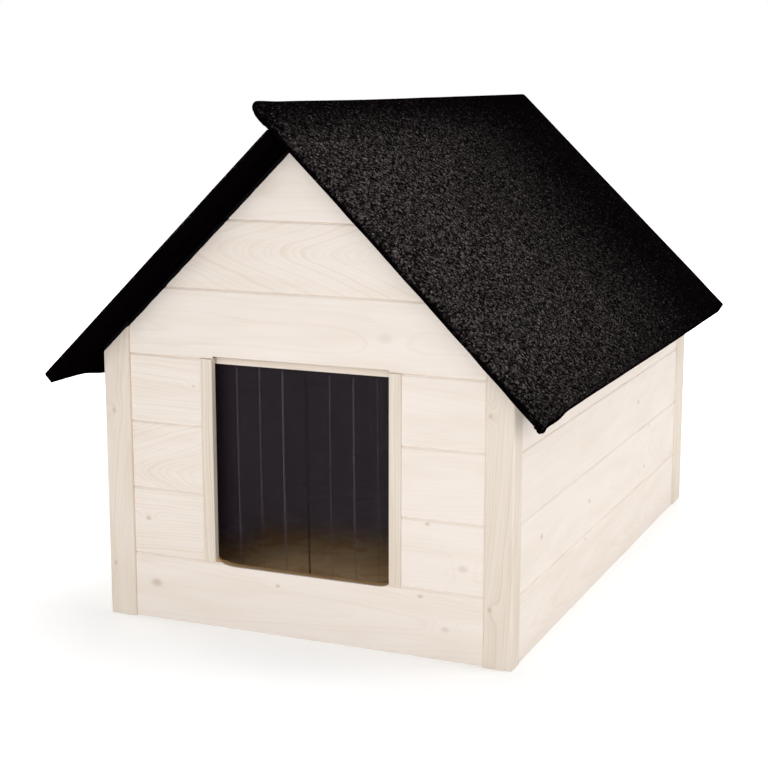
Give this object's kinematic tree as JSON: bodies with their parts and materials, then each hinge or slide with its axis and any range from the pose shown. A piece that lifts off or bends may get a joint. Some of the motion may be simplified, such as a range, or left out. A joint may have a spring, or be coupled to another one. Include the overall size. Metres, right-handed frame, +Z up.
{
  "type": "dog house",
  "caption": "Gabled wooden dog house with tongue-and-groove walls, a felted lift-off roof, and a doorway closed by two swinging ribbed plastic curtain leaves.",
  "frame": {"origin": "on the ground, under the centre of the overall box of the house with its roof", "axes": "+X to the right of the house seen from the front, +Y from the doorway to the rear, +Z up"},
  "size_m": [0.684, 0.994, 0.6828],
  "materials": {
    "whitewashed_board": "thin whitewash over softwood boards, grain showing faintly, satin",
    "whitewashed_batten": "thin whitewash over softwood battens, straight grain, satin",
    "plain_batten": "bare planed softwood",
    "strand_board": "pressed strand board, matt",
    "roofing_felt": "black bitumen roofing felt with fine grey mineral granules, matt",
    "black_roof_board": "board stained black, matt",
    "smoky_pvc": "smoky translucent PVC strip with moulded ribs, glossy",
    "zinc_screw": "zinc plated"
  },
  "bodies": {
    "house": {"front_sill_board": "whitewashed_board", "front_left_board_1": "whitewashed_board", "front_left_board_2": "whitewashed_board", "front_left_board_3": "whitewashed_board", "front_right_board_1": "whitewashed_board", "front_right_board_2": "whitewashed_board", "front_right_board_3": "whitewashed_board", "front_gable_board_1": "whitewashed_board", "front_gable_board_2": "whitewashed_board", "front_gable_board_3": "whitewashed_board", "rear_board_1": "whitewashed_board", "rear_board_2": "whitewashed_board", "rear_board_3": "whitewashed_board", "rear_board_4": "whitewashed_board", "rear_board_5": "whitewashed_board", "rear_board_6": "whitewashed_board", "rear_board_7": "whitewashed_board", "left_board_1": "whitewashed_board", "left_board_2": "whitewashed_board", "left_board_3": "whitewashed_board", "left_board_4": "whitewashed_board", "right_board_1": "whitewashed_board", "right_board_2": "whitewashed_board", "right_board_3": "whitewashed_board", "right_board_4": "whitewashed_board", "corner_post_front_left": "whitewashed_batten", "corner_post_front_right": "whitewashed_batten", "corner_post_rear_left": "whitewashed_batten", "corner_post_rear_right": "whitewashed_batten", "door_trim_left": "whitewashed_batten", "door_trim_right": "whitewashed_batten", "wall_plate_left": "plain_batten", "wall_plate_right": "plain_batten", "floor_bearer_1": "plain_batten", "floor_bearer_2": "plain_batten", "floor_bearer_3": "plain_batten", "floor_panel": "strand_board", "curtain_rail": "whitewashed_batten", "curtain_clamp_strip": "plain_batten", "curtain_margin_left": "smoky_pvc", "curtain_margin_right": "smoky_pvc", "clamp_screw_1": "zinc_screw", "clamp_screw_2": "zinc_screw", "clamp_screw_3": "zinc_screw"},
    "roof": {"ridge_batten": "plain_batten", "roof_board_left": "black_roof_board", "roof_board_right": "black_roof_board", "roof_felt_left": "roofing_felt", "roof_felt_right": "roofing_felt", "roof_batten_front_left": "plain_batten", "roof_batten_front_right": "plain_batten", "roof_batten_rear_left": "plain_batten", "roof_batten_rear_right": "plain_batten"},
    "curtain_left": {"curtain_leaf_left": "smoky_pvc"},
    "curtain_right": {"curtain_leaf_right": "smoky_pvc"}
  },
  "joints": [
    {"name": "roof_lift", "type": "slide", "parent": "house", "child": "roof", "axis": [0, 0, 1], "range_m": [0, 0.35]},
    {"name": "curtain_left_swing", "type": "hinge", "parent": "house", "child": "curtain_left", "pos_m": [-0.079, -0.411, 0.35], "axis": [1, 0, 0], "range_deg": [0, 80]},
    {"name": "curtain_right_swing", "type": "hinge", "parent": "house", "child": "curtain_right", "pos_m": [0.072, -0.411, 0.35], "axis": [1, 0, 0], "range_deg": [0, 80]}
  ]
}
